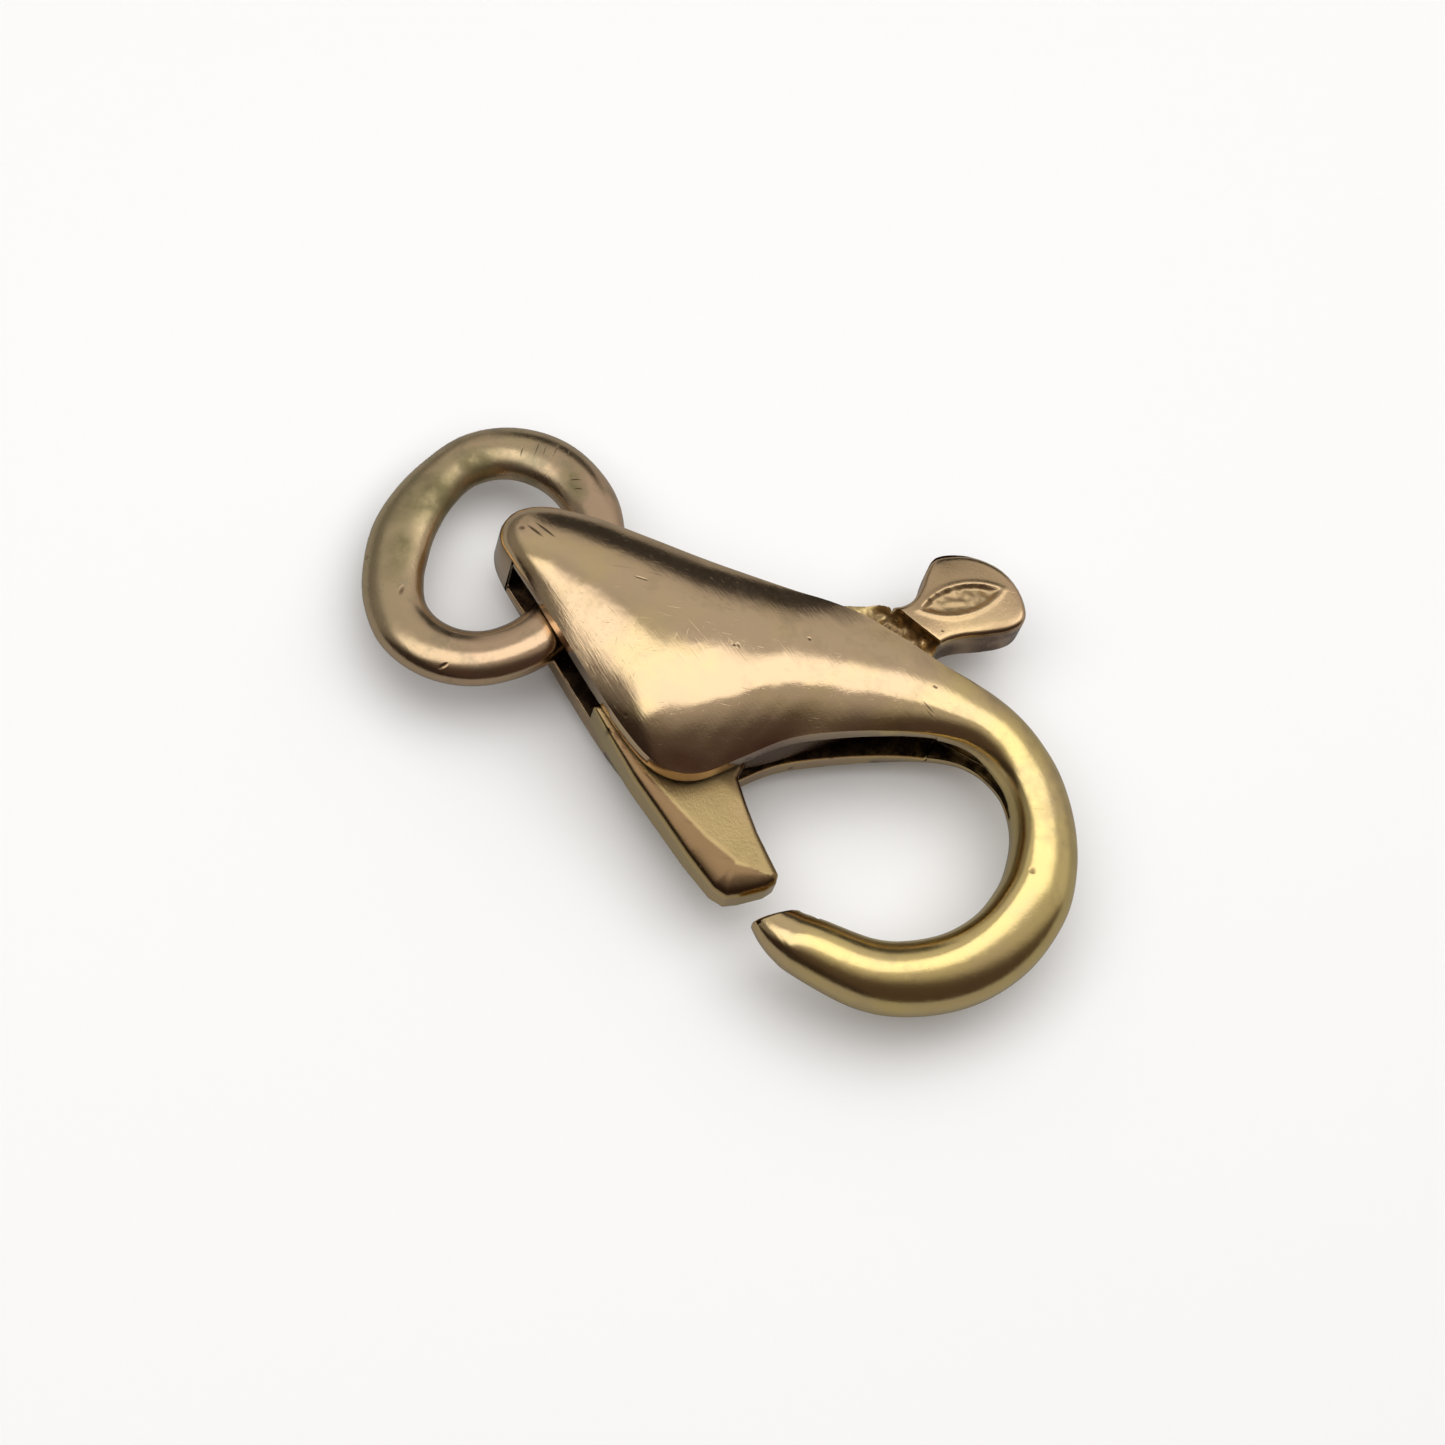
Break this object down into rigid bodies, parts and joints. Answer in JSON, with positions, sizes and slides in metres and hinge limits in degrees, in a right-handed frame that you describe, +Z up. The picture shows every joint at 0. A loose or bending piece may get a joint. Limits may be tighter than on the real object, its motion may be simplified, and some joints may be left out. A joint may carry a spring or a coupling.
{
  "type": "lobster clasp",
  "caption": "Gold lobster clasp with a round-wire hook, domed plates, a sprung lever with a thumb paddle, and a flattened tail ring.",
  "frame": {"origin": "foot of the lever's pivot axis on the worn flat of the back, which the clasp lies on", "axes": "+X from the tail towards the hook, +Y from the hook's end towards the thumb paddle, +Z up from the back"},
  "size_m": [0.0254, 0.015, 0.0055],
  "materials": {
    "cast_gold": "worn polish",
    "pin_gold": "drawn",
    "ring_gold": "worn polish, tarnished"
  },
  "bodies": {
    "body": {"claw_body": "cast_gold", "pivot_pin": "pin_gold"},
    "lever": {"lever": "cast_gold"},
    "ring": {"tail_ring": "ring_gold"}
  },
  "joints": [
    {"name": "lever_hinge", "type": "hinge", "parent": "body", "child": "lever", "pos_m": [0, 0, 0.00268], "axis": [0, 0, 1], "range_deg": [0, 28], "stiffness_Nm_per_rad": 0.019, "springref_deg": -20.05},
    {"name": "ring_swing", "type": "hinge", "parent": "body", "child": "ring", "pos_m": [-0.0072, 0, 0.00268], "axis": [0, 1, 0], "range_deg": [0, 20]}
  ]
}
